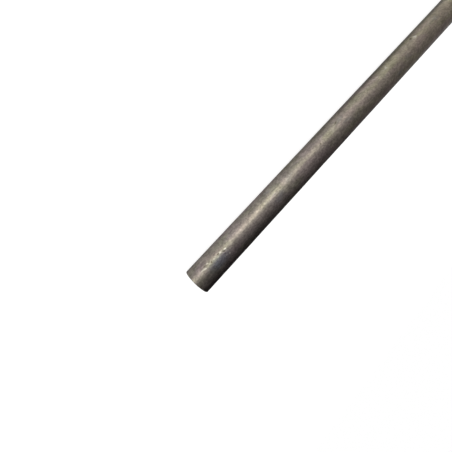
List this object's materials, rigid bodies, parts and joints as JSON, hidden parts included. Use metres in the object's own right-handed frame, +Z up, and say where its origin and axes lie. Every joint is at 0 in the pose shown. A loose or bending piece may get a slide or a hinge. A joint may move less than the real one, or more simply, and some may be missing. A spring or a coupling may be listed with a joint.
{
  "type": "round metal bar",
  "caption": "Plain solid round steel bar with a dull dark mill finish and both ends cut square, sold as raw stock to be cut, drilled or welded.",
  "frame": {"origin": "middle of the bar's length, on its axis", "axes": "+X along the bar's axis, +Z up as the bar lies on a level floor"},
  "size_m": [1, 0.012, 0.012],
  "materials": {
    "mill_steel": "hot-rolled mild steel, dark warm grey, satin, with faint heat tints and small nicks"
  },
  "bodies": {
    "root": {"round_bar": "mill_steel"}
  },
  "joints": []
}
